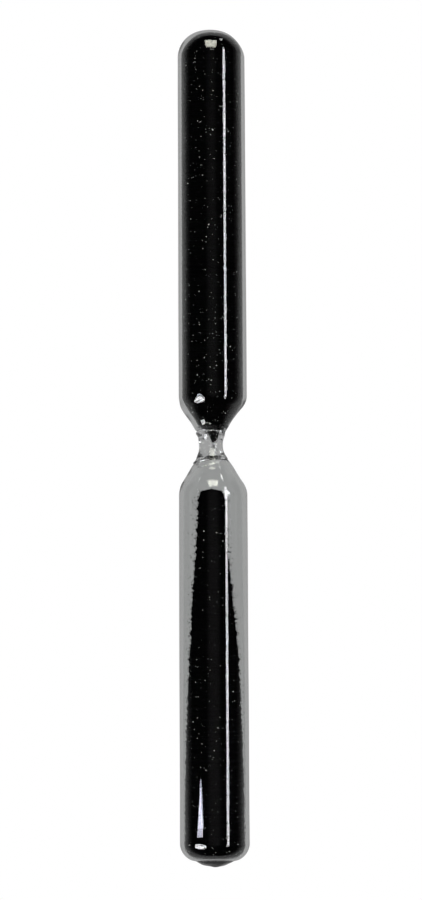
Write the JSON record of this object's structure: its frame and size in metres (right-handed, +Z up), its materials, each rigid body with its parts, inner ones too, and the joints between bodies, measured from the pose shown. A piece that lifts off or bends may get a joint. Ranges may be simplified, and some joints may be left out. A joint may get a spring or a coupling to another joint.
{
  "type": "hourglass",
  "caption": "Slim all-glass hourglass that lies on a table, two long tubular bulbs joined by a thick neck with a fine throat, part-filled with loose black sand.",
  "frame": {"origin": "on the table under the middle of the overall length, with the glass lying down", "axes": "+Y along the tubes' axis towards the domed end of the full bulb, +Z up, +X to the right of +Y seen from above"},
  "size_m": [0.025, 0.3096, 0.025],
  "materials": {
    "clear_glass": "clear, fire-polished",
    "black_sand": "loose dry sand, near black with a few bright flecks"
  },
  "bodies": {
    "glass": {"upper_tube": "clear_glass", "lower_tube": "clear_glass", "neck": "clear_glass", "fill_seal": "clear_glass", "dome_bead": "clear_glass"},
    "upper_sand": {"upper_sand_bed": "black_sand"},
    "lower_sand": {"lower_sand_bed": "black_sand"},
    "throat_sand": {"throat_grains": "black_sand"}
  },
  "joints": [
    {"name": "upper_sand_roll", "type": "hinge", "parent": "glass", "child": "upper_sand", "pos_m": [0, 0.075, 0.0125], "axis": [0, 1, 0], "range_deg": [-32, 32]},
    {"name": "lower_sand_roll", "type": "hinge", "parent": "glass", "child": "lower_sand", "pos_m": [0, -0.075, 0.0125], "axis": [0, 1, 0], "range_deg": [-32, 32]},
    {"name": "throat_run", "type": "slide", "parent": "glass", "child": "throat_sand", "axis": [0, -1, 0], "range_m": [0, 0.012]}
  ]
}
